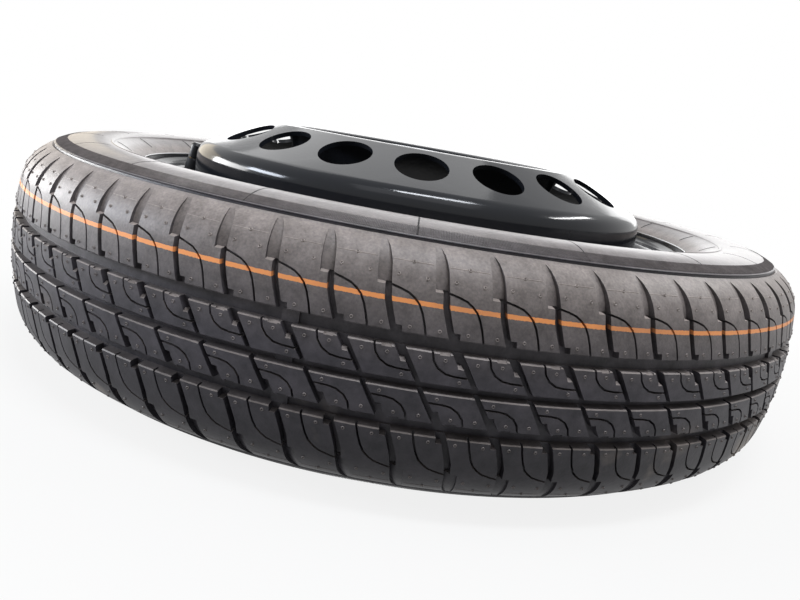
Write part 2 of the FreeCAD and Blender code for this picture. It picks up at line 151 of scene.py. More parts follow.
def weld(piece, gap=weldGap):
    editAll(piece)
    bpy.ops.mesh.remove_doubles(threshold=gap)
    bpy.ops.mesh.normals_make_consistent(inside=False)
    endEdit()


def joinPieces(pieces):
    makeActive(pieces[0])
    for piece in pieces[1:]:
        piece.select_set(True)
    bpy.ops.object.join()
    return bpy.context.active_object


def applyChange(piece, kind, settings):
    makeActive(piece)
    change = piece.modifiers.new("change", kind)
    for name, value in settings.items():
        setattr(change, name, value)
    bpy.ops.object.modifier_apply(modifier=change.name)


def carve(base, cutters):
    cutter = joinPieces(cutters)
    applyChange(base, "BOOLEAN", {"operation": "DIFFERENCE", "solver": "EXACT", "object": cutter})
    bpy.data.objects.remove(cutter)


def spinCopies(piece, count):
    # a whole ring of the piece about the wheel's axis
    editAll(piece)
    bpy.ops.mesh.spin(steps=count - 1, dupli=True, angle=2 * math.pi * (count - 1) / count,
                      center=(0, 0, 0), axis=(0, 0, 1))
    endEdit()


def roundSpot(radius, turn, level):
    # a point in m from a radius and level in mm; angles run from -Y towards +X
    return (radius * math.sin(turn) * mm, -radius * math.cos(turn) * mm, level * mm)


def turnProfile(points, steps, startAngle=0.0):
    # an open profile of (radius, level) in mm, turned about the wheel's axis
    piece = newLoop([roundSpot(radius, startAngle, level) for radius, level in points])
    # the edge from the last point to the first goes
    ends = {0, len(points) - 1}
    for edge in piece.data.edges:
        edge.select = set(edge.vertices) == ends
    for vertex in piece.data.vertices:
        vertex.select = False
    bpy.ops.object.mode_set(mode="EDIT")
    bpy.ops.mesh.select_mode(type="EDGE")
    bpy.ops.mesh.delete(type="EDGE")
    bpy.ops.mesh.select_mode(type="VERT")
    bpy.ops.mesh.select_all(action="SELECT")
    bpy.ops.mesh.spin(steps=steps, angle=2 * math.pi, center=(0, 0, 0), axis=(0, 0, 1))
    weld(piece, weldGap / 2)
    return piece


def smooth(piece, angle):
    makeActive(piece)
    bpy.ops.object.shade_smooth_by_angle(angle=math.radians(angle))


def bowArc(start, end, bow, count):
    # points of a round arc between two points, bowed to the right of the way from start to end
    (ax, ay), (bx, by) = start, end
    chord = math.hypot(bx - ax, by - ay)
    radius = (chord * chord / 4 + bow * bow) / (2 * abs(bow))
    half = math.asin(min(1.0, chord / (2 * radius)))
    sideX, sideY = (by - ay) / chord, -(bx - ax) / chord
    sign = 1 if bow > 0 else -1
    centreX = (ax + bx) / 2 - sign * sideX * (radius - abs(bow))
    centreY = (ay + by) / 2 - sign * sideY * (radius - abs(bow))
    points = []
    for step in range(count + 1):
        turn = half * (2 * step / count - 1)
        along, out = radius * math.sin(turn), radius * math.cos(turn)
        points.append((centreX + (bx - ax) / chord * along + sign * sideX * out,
                       centreY + (by - ay) / chord * along + sign * sideY * out))
    return points


def roundedPath(corners, radii, count):
    # a path through the corners with each inner one rounded
    points = [corners[0]]
    for (before, here, after), radius in zip(zip(corners, corners[1:], corners[2:]), radii):
        back = Vector((before[0] - here[0], before[1] - here[1])).normalized()
        ahead = Vector((after[0] - here[0], after[1] - here[1])).normalized()
        half = back.angle(ahead) / 2
        centre = Vector(here) + (back + ahead).normalized() * (radius / math.sin(half))
        first = Vector(here) + back * (radius / math.tan(half)) - centre
        sweep = math.pi - 2 * half
        if first.x * ahead.y - first.y * ahead.x < 0:
            sweep = -sweep
        for step in range(count + 1):
            turn = sweep * step / count
            points.append((centre.x + first.x * math.cos(turn) - first.y * math.sin(turn),
                           centre.y + first.x * math.sin(turn) + first.y * math.cos(turn)))
    points.append(corners[-1])
    return points


# tyre

tyreSpec = {
    "radius": 317.5, "pitches": 70, "stepsPerPitch": 3, "phase": 0.0095, "wrapRadius": 316.0,
    "smoothAngle": 32,
    "upper": {"treadHalf": 43.0, "treadDrop": 3.8, "ring": (295.6, 67.2), "bow": 3.6},
    "lower": {"treadHalf": 42.4, "treadDrop": 4.3, "ring": (295.3, 64.4), "bow": 3.4},
    "grooveDepth": 6.0, "grooveDraft": 0.5, "grooveChamfer": 0.5, "outerGroove": (18.6, 25.2),
    "middleGroove": 2.05, "slotDepth": 5.0, "sipeWide": 1.15, "sipeDepth": 3.6, "skinThick": 14.0,
    # how far the cutters stand out of the tread, then the height and the floor's curve of the sloped ones
    "slotOver": 1.5, "grooveOver": 1.0, "chamferOver": 0.5, "ledgeTall": 7.0, "ledgeCurve": 1.4,
    # bends in the shoulder, and how near points of the flat pitch are one or lie on its border
    "shoulderCuts": 7, "pitchWeld": 0.002, "borderNear": 0.001,
}


def shoulderShape(spec):
    # the tread's crown arc on one side and the bowed shoulder that follows it
    half, drop, bow = spec["treadHalf"], spec["treadDrop"], spec["bow"]
    crown = (half ** 2 + drop ** 2) / (2 * drop)
    crownArc = crown * math.asin(half / crown)
    edge, ring = Vector((tyreSpec["radius"] - drop, half)), Vector(spec["ring"])
    chord = (ring - edge).length
    curve = (chord ** 2 / 4 + bow ** 2) / (2 * bow)
    spread = math.asin(chord / 2 / curve)
    start = math.atan2(edge.x - ring.x, ring.y - edge.y) - spread
    centre = edge - Vector((math.cos(start), math.sin(start))) * curve
    return {"crown": crown, "crownArc": crownArc, "curve": curve, "start": start, "centre": centre,
            "ringArc": crownArc + 2 * spread * curve}


shoulders = {1: shoulderShape(tyreSpec["upper"]), -1: shoulderShape(tyreSpec["lower"])}
pitchLong = 2 * math.pi / tyreSpec["pitches"] * tyreSpec["wrapRadius"]


def sectionPoint(across, height):
    # radius and level of a point at an arc length across the tread and a height over its surface
    side = 1 if across >= 0 else -1
    shape = shoulders[side]
    reach = abs(across)
    if reach <= shape["crownArc"]:
        turn = reach / shape["crown"]
        radius = tyreSpec["radius"] - shape["crown"] + (shape["crown"] + height) * math.cos(turn)
        return radius, side * (shape["crown"] + height) * math.sin(turn)
    turn = shape["start"] + (reach - shape["crownArc"]) / shape["curve"]
    spot = shape["centre"] + Vector((math.cos(turn), math.sin(turn))) * (shape["curve"] + height)
    return spot.x, side * spot.y


def wrapTread(piece, angle=0.0):
    # lays a flat piece (along, across, height in mm) round the tyre
    for vertex in piece.data.vertices:
        along, across, height = vertex.co
        radius, level = sectionPoint(across, height)
        vertex.co = roundSpot(radius, tyreSpec["phase"] + angle + along / tyreSpec["wrapRadius"],
                              level - hubToMiddle)


def ribbon(path, wide):
    # outline of a thin cut along a path
    left, right = [], []
    for index, point in enumerate(path):
        before = path[max(index - 1, 0)]
        after = path[min(index + 1, len(path) - 1)]
        way = Vector((after[0] - before[0], after[1] - before[1])).normalized() * (wide / 2)
        left.append((point[0] - way.y, point[1] + way.x))
        right.append((point[0] + way.y, point[1] - way.x))
    return left + right[::-1]


# one pitch of the tread, seen from outside with the hat up: (along, across) in mm
pitchShapes = {
    "shoulderSlot": [(1.5, 24.0), (0.9, 28.8), (-2.2, 28.8), (-4.2, 34.5), (-6.1, 40.4), (-7.6, 49.0),
                     (-10.7, 49.0), (-9.7, 40.4), (-7.7, 34.5), (-5.6, 28.8), (-3.6, 24.0)],
    # the wide upper end of that slot, running out below the ridge: across, left, right, depth left and right
    "shoulderWide": [(46.8, -14.3, -7.3, -0.3, -0.3), (48.6, -14.6, -7.6, 2.2, 4.4),
                     (54.0, -15.4, -8.3, 1.8, 3.4), (59.0, -15.9, -9.1, 1.4, 2.7),
                     (63.0, -16.3, -10.2, 1.1, 2.0), (67.0, -16.6, -11.6, 0.7, 1.2),
                     (70.0, -16.9, -13.2, 0.3, 0.5), (72.5, -17.2, -14.8, -0.3, -0.3)],
    # small sloped ledges at the notch of the middle slot and at the groove's edge, in the same form
    "notchLedge": [(11.3, 2.9, 6.2, -0.3, -0.3), (13.2, 2.2, 5.2, 2.6, 2.6), (14.6, 1.6, 4.4, 2.6, 2.6)],
    "edgeLedge": [(17.2, -7.2, -2.4, -0.3, -0.3), (18.9, -7.2, -2.0, 2.6, 2.6), (20.6, -7.2, -2.0, 2.6, 2.6)],
    "middleSlot": [(-1.9, 19.8), (3.8, 19.8), (15.4, 1.0), (12.5, 1.0), (4.8, 12.8), (2.4, 13.1)],
    "shoulderSipe": [(-9.0, 47.6), (-7.7, 47.3), (-2.85, 46.1), (1.6, 44.6), (4.6, 42.6), (7.3, 40.0),
                     (9.5, 35.9), (11.4, 30.6), (12.9, 25.1), (13.2, 24.0)],
    "middleSipe": [(-11.2, 20.2), (-11.0, 19.3), (-9.6, 14.1), (-7.0, 10.7), (-2.85, 8.3), (1.6, 7.6),
                   (9.0, 7.4)],
    "pips": [(-9.2, 28.6), (4.6, 28.6), (-4.9, 53.0), (9.4, 52.6), (1.5, 60.2), (-4.0, 15.0), (12.0, 14.8),
             (4.6, 5.0)],
}

# dust that a face holds, with painted light and shade: 0 clean, 0.5 as the open surface, 1 caked; faces that
# look up are painted paler as lit, recesses and the step under the ridge are painted darker as shaded
dustLightShadeSpec = {
    "open": 0.5, "wideFloor": 0.46, "narrowFloor": 0.18, "upLedge": 0.95, "ledge": 0.4, "upWall": 0.72,
    "wall": 0.2, "ridgeStep": 0.0, "knurlGround": 0.16, "wearBar": 0.3, "knurl": 0.5, "mouldLine": 0.75,
    "pip": 0.85, "pipPit": 0.3,
    # what tells faces apart: parts of their normals, then mm across, deep and from the axis
    "flat": 0.95, "sloped": 0.3, "facesUp": 0.6, "ridgeTop": 0.8, "wideFrom": 49.0, "wideDeep": 0.05,
    "openDeep": 0.4, "ledgeDeep": 2.6, "ridgeFrom": 293.4,
}


def markDustLightShade(piece, amount):
    # amount gives the dust, painted light and painted shade from the face
    dustLightShade = piece.data.attributes.new("dustLightShadeHeld", "FLOAT", "FACE")
    dustLightShade.data.foreach_set("value", [amount(face) for face in piece.data.polygons])


def dustLightShadeOnPitch(face):
    # ledges and walls that face up hold dust and are painted paler as lit, floors of the narrow cuts and the
    # other walls are painted darker as shaded
    up, out, deep = face.normal.y, face.normal.z, -face.center.z
    if out > dustLightShadeSpec["sloped"] and abs(face.center.y) > dustLightShadeSpec["wideFrom"]:
        return dustLightShadeSpec["open" if deep < dustLightShadeSpec["wideDeep"] else "wideFloor"]
    if out > dustLightShadeSpec["flat"]:
        return dustLightShadeSpec["open" if deep < dustLightShadeSpec["openDeep"] else "narrowFloor"]
    if out > dustLightShadeSpec["sloped"]:
        return dustLightShadeSpec["upLedge" if up > dustLightShadeSpec["sloped"] and deep < dustLightShadeSpec["ledgeDeep"] else "ledge"]
    return dustLightShadeSpec["upWall" if up > dustLightShadeSpec["facesUp"] else "wall"]


def grooveBands():
    low, high = tyreSpec["outerGroove"]
    middle = tyreSpec["middleGroove"]
    return [(low, high), (-middle, middle), (-high, -low)]


def grooveBlock(start, stop, top, bottom, topSpread, bottomSpread):
    # cutter along the whole pitch, with leaning walls
    ends = [(-pitchLong, start), (pitchLong, start), (pitchLong, stop), (-pitchLong, stop)]
    block = outlineBlock(ends, top, bottom)
    for vertex in block.data.vertices:
        spread = topSpread if vertex.co.z > 0 else bottomSpread
        vertex.co.y += spread if vertex.co.y > (start + stop) / 2 else -spread
    return block


def ledgeBlock(rows, half, shift):
    # cutter with a sloped floor, from rows of across, left, right and the depth at left and right
    block = newGrid(2, len(rows) - 1)
    for vertex in block.data.vertices:
        across, left, right, shallow, deep = rows[round((vertex.co.y + 0.5) * (len(rows) - 1))]
        part = vertex.co.x + 0.5
        depth = shallow + (deep - shallow) * part ** tyreSpec["ledgeCurve"]
        vertex.co = ((left + (right - left) * part) * half + shift, across * half, -depth)
    return extrude(block, tyreSpec["ledgeTall"])


def cutPitch(pitch):
    draft, chamfer, over = tyreSpec["grooveDraft"], tyreSpec["grooveChamfer"], tyreSpec["chamferOver"]
    grooves, edges, slots, ledges, sipes = [], [], [], [], []
    for start, stop in grooveBands():
        grooves.append(grooveBlock(start, stop, tyreSpec["grooveOver"], -tyreSpec["grooveDepth"],
                                   draft / 2, -draft / 2))
        edges.append(grooveBlock(start - draft / 2, stop + draft / 2, over, -chamfer - over,
                                 chamfer + over, -over))
    # neighbouring pitches reach into this one, and the lower half is the upper one turned half a turn
    for shift, half in [(shift, half) for shift in (-pitchLong, 0, pitchLong) for half in (1, -1)]:
        paths = {name: [(spot[0] * half + shift, spot[1] * half) for spot in pitchShapes[name]]
                 for name in ("shoulderSlot", "middleSlot", "shoulderSipe", "middleSipe")}
        for name in ("shoulderSlot", "middleSlot"):
            slots.append(outlineBlock(paths[name], tyreSpec["slotOver"], -tyreSpec["slotDepth"]))
        for name in ("shoulderWide", "notchLedge", "edgeLedge"):
            ledges.append(ledgeBlock(pitchShapes[name], half, shift))
        for name in ("shoulderSipe", "middleSipe"):
            outline = ribbon(paths[name], tyreSpec["sipeWide"])
            sipes.append(outlineBlock(outline, tyreSpec["slotOver"], -tyreSpec["sipeDepth"]))
    for cutters in (grooves, edges, slots, ledges, sipes):
        carve(pitch, cutters)


def makePitch():
    upper, lower, thick = shoulders[1]["ringArc"], -shoulders[-1]["ringArc"], tyreSpec["skinThick"]
    pitch = newCube((0, (upper + lower) / 2, -thick / 2), (pitchLong, upper - lower, thick))
    cutPitch(pitch)
    markDustLightShade(pitch, dustLightShadeOnPitch)

    # only the outer skin and the walls of the cuts stay
    borders = [(0, pitchLong / 2), (0, -pitchLong / 2), (1, upper), (1, lower), (2, -thick)]
    near = tyreSpec["borderNear"]
    pickFaces(pitch)
    for face in pitch.data.polygons:
        spots = [pitch.data.vertices[i].co for i in face.vertices]
        face.select = any(all(abs(spot[axis] - edge) < near for spot in spots) for axis, edge in borders)
    makeActive(pitch)
    bpy.ops.object.mode_set(mode="EDIT")
    bpy.ops.mesh.delete(type="FACE")
    bpy.ops.mesh.select_mode(type="VERT")

    # cross cuts let the flat skin bend round the tyre
    makeTriangles()
    steps, cuts = tyreSpec["stepsPerPitch"], tyreSpec["shoulderCuts"]
    planes = [(((step / steps - 0.5) * pitchLong, 0, 0), (1, 0, 0)) for step in range(1, steps)]
    for half, shape in shoulders.items():
        wide = shape["ringArc"] - shape["crownArc"]
        levels = [(shape["crownArc"] + wide * step / cuts) * half for step in range(cuts)]
        planes += [((0, level, 0), (0, 1, 0)) for level in levels]
    for place, way in planes:
        bpy.ops.mesh.select_all(action="SELECT")
        bpy.ops.mesh.bisect(plane_co=place, plane_no=way)
    bpy.ops.mesh.select_all(action="SELECT")
    bpy.ops.mesh.remove_doubles(threshold=tyreSpec["pitchWeld"])
    makeTriangles()
    endEdit()
    return pitch


markSpec = {
    "wearBars": 6, "wearBarLong": 9.0, "wearBarHigh": 1.6, "wearBarGap": 0.3, "firstBar": -0.172,
    "knurls": 2200, "knurlWide": 0.46, "knurlHigh": 0.42, "knurlBand": (285.7, 293.0),
    "pipSides": 8, "pipWide": 1.0, "pipHigh": 0.55, "pipWall": 0.26, "pipPit": 0.3, "pipSunk": 0.05,
    "pipSmooth": 60,
    "lineAcross": 60.2, "lineWide": 0.9, "lineHigh": 0.16, "lineEnds": (-8.8, 11.4), "lineSteps": 6,
    "seams": 20, "seamWide": 1.7, "seamHigh": 0.12, "seamTurn": 0.012,
    "seamBands": [(263.0, 293.0), (241.5, 252.6)],
    "sunk": 0.1, "ribStep": 4.0,  # how deep a mark's foot lies in the rubber, and the length of a rib's parts
}

# sidewalls: the ridge over the shoulder, then the bowed wall in to the line over the rim
sideSpec = {
    "upper": {"ridge": [(293.9, 66.6), (293.6, 68.1), (294.2, 68.6), (293.9, 69.0)], "outer": (293.5, 69.1)},
    "lower": {"ridge": [(294.9, 65.3), (293.4, 66.1), (292.9, 66.2)], "outer": (292.4, 66.6)},
    "crest": 75.4, "wallStep": 2.6, "wallSteps": 13,
    # the raised line over the rim: radius, then steps out from it with their lift
    "lineRadius": 255.2, "line": [(1.3, 0.0), (0.8, 0.6), (-0.9, 0.55), (-1.5, -0.2), (-2.1, -0.25)],
    "innerRadii": (250.0, 246.5, 243.0), "innerDrop": 0.2,
    "guard": (240.0, 65.5), "lip": (237.6, 63.2), "toe": (217.3, 34.0),
    # flange, bead seat and the inside's wall, bend and crown: start, end, bow and steps
    "arcs": [((234.6, 59.8), (225.3, 50.5), -2.72, 5), ((224.8, 50.5), (218.6, 44.3), 1.82, 4),
             ((223.8, 33.0), (262.8, 67.5), -3.0, 4), ((262.8, 67.5), (300.7, 46.0), 3.0, 4),
             ((300.7, 46.0), (300.7, -46.0), 4.0, 6)],
}


def wallArc(name):
    # centre and radius of the round wall through the ridge, the crest and the guard over the rim, by halving
    (ax, ay), (bx, by) = sideSpec[name]["outer"], sideSpec["guard"]
    low, high = -200.0, 70.0
    for _ in range(60):
        middle = (low + high) / 2
        radius = sideSpec["crest"] - middle
        spread = math.sqrt(radius ** 2 - (ay - middle) ** 2) + math.sqrt(radius ** 2 - (by - middle) ** 2)
        low, high = (middle, high) if spread > ax - bx else (low, middle)
    return ax - math.sqrt(radius ** 2 - (ay - middle) ** 2), middle, radius


walls = {name: wallArc(name) for name in ("upper", "lower")}


def sideLevel(radius, name):
    centre, middle, bow = walls[name]
    return middle + math.sqrt(bow ** 2 - (radius - centre) ** 2)


def sideProfile(name):
    # one half from the shoulder's ring over the wall and the bead to the middle plane inside
    side, line = sideSpec[name], sideSpec["lineRadius"]
    radii = [side["outer"][0] - sideSpec["wallStep"] * step for step in range(1, sideSpec["wallSteps"] + 1)]
    points = [tyreSpec[name]["ring"]] + side["ridge"] + [side["outer"]]
    points += [(r, sideLevel(r, name)) for r in radii]
    points += [(line + r, sideLevel(line + r, name) + lift) for r, lift in sideSpec["line"]]
    points += [(r, sideLevel(r, name) - sideSpec["innerDrop"]) for r in sideSpec["innerRadii"]]
    flange, seat, wall, bend, crown = [bowArc(*arc) for arc in sideSpec["arcs"]]
    points += [sideSpec["guard"], sideSpec["lip"]] + flange + seat + [sideSpec["toe"]]
    return points + wall + bend[1:] + crown[1:len(crown) // 2 + 1]


def dustShadeOnSide(face):
    # the step under the ridge and the ground between the knurls are painted dark as shaded
    radius = face.center.xy.length / mm
    if radius > dustLightShadeSpec["ridgeFrom"]:
        return dustLightShadeSpec["ridgeStep" if abs(face.normal.z) < dustLightShadeSpec["ridgeTop"] else "open"]
    low, high = markSpec["knurlBand"]
    return dustLightShadeSpec["knurlGround" if low < radius < high else "open"]


def makeTyre():
    count = tyreSpec["pitches"]
    tread = makePitch()
    print("one tread pitch:", len(tread.data.polygons), "faces")
    wrapTread(tread)
    spinCopies(tread, count)
    weld(tread)
    upper, lower = sideProfile("upper"), sideProfile("lower")
    section = upper + [(r, -z) for r, z in reversed(lower[:-1])]
    start = tyreSpec["phase"] - math.pi / count
    sides = turnProfile([(r, z - hubToMiddle) for r, z in section], count * tyreSpec["stepsPerPitch"], start)
    markDustLightShade(sides, dustShadeOnSide)
    tyre = joinPieces([tread, sides])
    tyre.name = "mouldedTyre"
    weld(tyre)
    smooth(tyre, tyreSpec["smoothAngle"])
    print("tyre:", len(tyre.data.polygons), "faces")
    return tyre


tyrePiece = makeTyre()
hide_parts("tyre")
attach(tyrePiece, "wheel")


# wear bars in the grooves and moulded marks of the sidewalls

def makeRibs(count, wide, high, band, turn=0.0):
    # raised ribs that follow the sidewall outward, on both sides of the tyre
    ribs = []
    low, long = band[0], band[1] - band[0]
    for side, sign in (("upper", 1), ("lower", -1)):
        rib = newGrid(2, max(1, round(long / markSpec["ribStep"])))
        for vertex in rib.data.vertices:
            radius = low + long * (vertex.co.y + 0.5)
            lift = high if abs(vertex.co.x) < 0.01 else -markSpec["sunk"]
            level = sign * (sideLevel(radius, side) + lift) - hubToMiddle
            across = vertex.co.x * wide
            vertex.co = ((radius * math.sin(turn) + across * math.cos(turn)) * mm,
                         (across * math.sin(turn) - radius * math.cos(turn)) * mm, level * mm)
        if sign < 0:
            editAll(rib)
            bpy.ops.mesh.flip_normals()
            endEdit()
        ribs.append(rib)
    rib = joinPieces(ribs)
    spinCopies(rib, count)
    return rib


def makeMouldLine():
    # the faint raised line that the mould leaves across each shoulder block
    lines = []
    left, right = markSpec["lineEnds"]
    for half in (1, -1):
        line = newGrid(markSpec["lineSteps"], 2)
        for vertex in line.data.vertices:
            along = left + (right - left) * (vertex.co.x + 0.5)
            across = markSpec["lineAcross"] + markSpec["lineWide"] * vertex.co.y
            lift = markSpec["lineHigh"] if abs(vertex.co.y) < 0.01 else -markSpec["sunk"]
            vertex.co = (along * half, across * half, lift)
        lines.append(line)
    line = joinPieces(lines)
    wrapTread(line)
    spinCopies(line, tyreSpec["pitches"])
    return line


def makeMarks():
    bars = []
    high = markSpec["wearBarHigh"]
    for start, stop in grooveBands():
        wide = stop - start - markSpec["wearBarGap"]
        bars.append(newCube((0, (start + stop) / 2, high / 2 - tyreSpec["grooveDepth"]),
                            (markSpec["wearBarLong"], wide, high + markSpec["sunk"])))
    bar = joinPieces(bars)
    wrapTread(bar, markSpec["firstBar"])
    spinCopies(bar, markSpec["wearBars"])
    knurl = makeRibs(markSpec["knurls"], markSpec["knurlWide"], markSpec["knurlHigh"], markSpec["knurlBand"])
    line = makeMouldLine()
    markDustLightShade(bar, lambda face: dustLightShadeSpec["wearBar"])
    markDustLightShade(knurl, lambda face: dustLightShadeSpec["knurl"])
    markDustLightShade(line, lambda face: dustLightShadeSpec["mouldLine"])
    mark = joinPieces([bar, knurl, line])
    mark.name = "mouldMarks"
    print("mould marks:", len(mark.data.polygons), "faces")
    return mark


def makePips():
    # the stub that each of the mould's air holes leaves: a low ring with a pit in it
    pips = []
    for x, y in [(x * half, y * half) for half in (1, -1) for x, y in pitchShapes["pips"]]:
        deselectAll()
        bpy.ops.mesh.primitive_circle_add(vertices=markSpec["pipSides"], radius=markSpec["pipWide"],
                                          fill_type="NGON", location=(x, y, -markSpec["pipSunk"]))
        pip = settle()
        editAll(pip)
        for rise in (markSpec["pipHigh"], -markSpec["pipPit"]):
            bpy.ops.mesh.inset(thickness=markSpec["pipWall"])
            bpy.ops.transform.translate(value=(0, 0, rise))
        endEdit()
        pips.append(pip)
    pip = joinPieces(pips)
    pip.name = "ventPips"
    wrapTread(pip)
    spinCopies(pip, tyreSpec["pitches"])
    # the ring is painted paler as lit and the pit darker as shaded
    markDustLightShade(pip, lambda face: dustLightShadeSpec["pipPit" if len(face.vertices) > 4 else "pip"])
    smooth(pip, markSpec["pipSmooth"])
    print("pips:", len(pip.data.polygons), "faces")
    return pip


def makeSeams():
    # lines between the mould's side plates
    seam = joinPieces([makeRibs(markSpec["seams"], markSpec["seamWide"], markSpec["seamHigh"], band,
                                markSpec["seamTurn"]) for band in markSpec["seamBands"]])
    seam.name = "mouldSeams"
    return seam


markPiece, pipPiece, seamPiece = makeMarks(), makePips(), makeSeams()
for piece in (markPiece, pipPiece, seamPiece):
    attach(piece, "wheel")


# pressed steel wheel

wheelSpec = {
    "steps": 216, "curveSteps": 7, "discThick": 3.4, "rimThick": 2.6,
    "vents": 18, "ventDiameter": 38.0, "ventRadius": 157.5,
    # the disc from its bore up the dish, over the hat and down the skirt in the rim, with its rounded corners
    "dish": [(33.55, 51.4), (92.0, 51.4), (120.0, 108.0)], "dishCurves": [12.0, 7.0],
    "crownEdge": (134.5, 108.0), "hatEdge": (192.1, 80.9), "crownCurve": 8.0, "hatCurve": 14.0,
    "skirt": [(193.7, 27.0), (193.7, -6.0)], "skirtCurve": 200.0,
    "rim": [(234.3, -63.0), (234.3, -50.8), (218.3, -50.8), (217.0, -34.8), (196.6, -14.0), (196.6, 27.0),
            (217.0, 30.6), (218.3, 50.8), (234.3, 50.8), (234.3, 63.0)],
    "rimCurves": [9.0, 6.5, 5.0, 8.0, 2.5, 3.6, 6.5, 9.0],
    # radius and level over the hub face of a spot on the outer skin
    "discSkin": (193.7, 20.0), "rimSkin": (196.6, -40.0),
    "studs": 5, "studCircle": 114.3, "studHole": 15.0, "studSides": 40, "studReach": 15.0,
    "studSeat": 18.0, "studSeatDeep": 2.0, "studSeatAngle": 30, "studSeatOver": 2.0,
    "edgeRound": 0.9, "edgeSteps": 2, "edgeAngle": 50, "smoothAngle": 40,
}


def finishSheet(piece, thick, skin):
    # the skin is turned so that its face nearest to a spot looks outward, then thickened inward
    spot = Vector(roundSpot(skin[0], 0.0, skin[1]))
    near = min(piece.data.polygons, key=lambda face: (face.center - spot).length)
    if spot.normalized().dot(near.normal) < 0:
        editAll(piece)
        bpy.ops.mesh.flip_normals()
        endEdit()
    applyChange(piece, "SOLIDIFY", {"thickness": thick * mm, "offset": -1.0, "use_even_offset": True})


def roundEdges(piece):
    applyChange(piece, "BEVEL", {"width": wheelSpec["edgeRound"] * mm, "segments": wheelSpec["edgeSteps"],
                                 "limit_method": "ANGLE", "angle_limit": math.radians(wheelSpec["edgeAngle"]),
                                 "use_clamp_overlap": True})
    smooth(piece, wheelSpec["smoothAngle"])
    applyChange(piece, "WEIGHTED_NORMAL", {"keep_sharp": True})


def makeVentBand(start, stop):
    # one vent and the cone round it, from start to stop down the slope, then the whole ring
    edge, foot = Vector(wheelSpec["crownEdge"]), Vector(wheelSpec["hatEdge"])
    down = (foot - edge).normalized()
    centre = (wheelSpec["ventRadius"] - edge.x) / down.x
    count, hole = wheelSpec["vents"], wheelSpec["ventDiameter"] / 2
    perSide = wheelSpec["steps"] // count

    def onCone(turn, slide):
        spot = edge + down * slide
        return roundSpot(spot.x, turn, spot.y - hubToMiddle)

    corners = [(-1, 1), (1, 1), (1, -1), (-1, -1)]  # upper left first, as slides grow downward
    frameSpots, holeSpots = [], []
    for (ax, ay), (bx, by) in zip(corners, corners[1:] + corners[:1]):
        for step in range(perSide):
            part = step / perSide
            x, y = ax + (bx - ax) * part, ay + (by - ay) * part
            frameSpots.append(onCone(x * math.pi / count, stop + (start - stop) * (y + 1) / 2))
            way = math.atan2(y, x)
            slide = centre - hole * math.sin(way)
            holeSpots.append(onCone(hole * math.cos(way) / (edge + down * slide).x, slide))
    band = joinPieces([newLoop(spots) for spots in (holeSpots, frameSpots)])
    editAll(band)
    bpy.ops.mesh.bridge_edge_loops()
    spinCopies(band, count)
    return band


def cutStuds(disc, low, high, lowRadius, highRadius):
    # a round cut at each stud, from low to high over the hub face
    reach, count, cutters = wheelSpec["studCircle"] / 2, wheelSpec["studs"], []
    for number in range(count):
        way = -math.pi / 2 + 2 * math.pi * number / count
        place = Vector((reach * math.cos(way), reach * math.sin(way), (low + high) / 2)) * mm
        bpy.ops.mesh.primitive_cone_add(vertices=wheelSpec["studSides"], radius1=lowRadius * mm,
                                        radius2=highRadius * mm, depth=(high - low) * mm, location=place)
        cutters.append(settle())
    carve(disc, cutters)


def makeDisc():
    edge, foot, skirt = Vector(wheelSpec["crownEdge"]), Vector(wheelSpec["hatEdge"]), wheelSpec["skirt"]
    slope = math.atan2(edge.y - foot.y, foot.x - edge.x)
    wall = math.atan2(foot.y - skirt[0][1], skirt[0][0] - foot.x)
    start = wheelSpec["crownCurve"] * math.tan(slope / 2)
    stop = (foot - edge).length - wheelSpec["hatCurve"] * math.tan((wall - slope) / 2)
    corners = wheelSpec["dish"] + [wheelSpec["crownEdge"], wheelSpec["hatEdge"]] + skirt
    curves = wheelSpec["dishCurves"] + [wheelSpec[name] for name in ("crownCurve", "hatCurve", "skirtCurve")]
    path = roundedPath(corners, curves, wheelSpec["curveSteps"])
    path = [(r, z - hubToMiddle) for r, z in path]
    crownEnd = 1 + 3 * (wheelSpec["curveSteps"] + 1)  # the bore and three rounded corners
    pieces = [makeVentBand(start, stop)]
    for points in (path[:crownEnd], path[crownEnd:]):
        pieces.append(turnProfile(points, wheelSpec["steps"], math.pi / wheelSpec["vents"]))
    disc = joinPieces(pieces)
    disc.name = "pressedDisc"
    weld(disc)
    finishSheet(disc, wheelSpec["discThick"], wheelSpec["discSkin"])
    hole, seat = wheelSpec["studHole"] / 2, wheelSpec["studSeat"] / 2
    deep, over, thick = wheelSpec["studSeatDeep"], wheelSpec["studSeatOver"], wheelSpec["discThick"]
    rise = math.tan(math.radians(wheelSpec["studSeatAngle"]))
    cutStuds(disc, -wheelSpec["studReach"], wheelSpec["studReach"], hole, hole)
    cutStuds(disc, thick - deep, thick + over, seat - deep * rise, seat + over * rise)
    roundEdges(disc)
    print("disc:", len(disc.data.polygons), "faces")
    return disc


def makeRim():
    path = roundedPath(wheelSpec["rim"], wheelSpec["rimCurves"], wheelSpec["curveSteps"])
    rim = turnProfile([(r, z - hubToMiddle) for r, z in path], wheelSpec["steps"])
    rim.name = "rolledRim"
    finishSheet(rim, wheelSpec["rimThick"], wheelSpec["rimSkin"])
    roundEdges(rim)
    print("rim:", len(rim.data.polygons), "faces")
    return rim


discPiece = makeDisc()
rimPiece = makeRim()
for piece, node in ((discPiece, "wheel_disc"), (rimPiece, "wheel_rim")):
    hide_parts(node)
    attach(piece, "wheel")


# spring of the valve core, coiled along the pin's axis

springSpec = {"turns": 6, "stepsPerTurn": 24, "wire": 0.125, "wireSides": 10, "smoothAngle": 50}


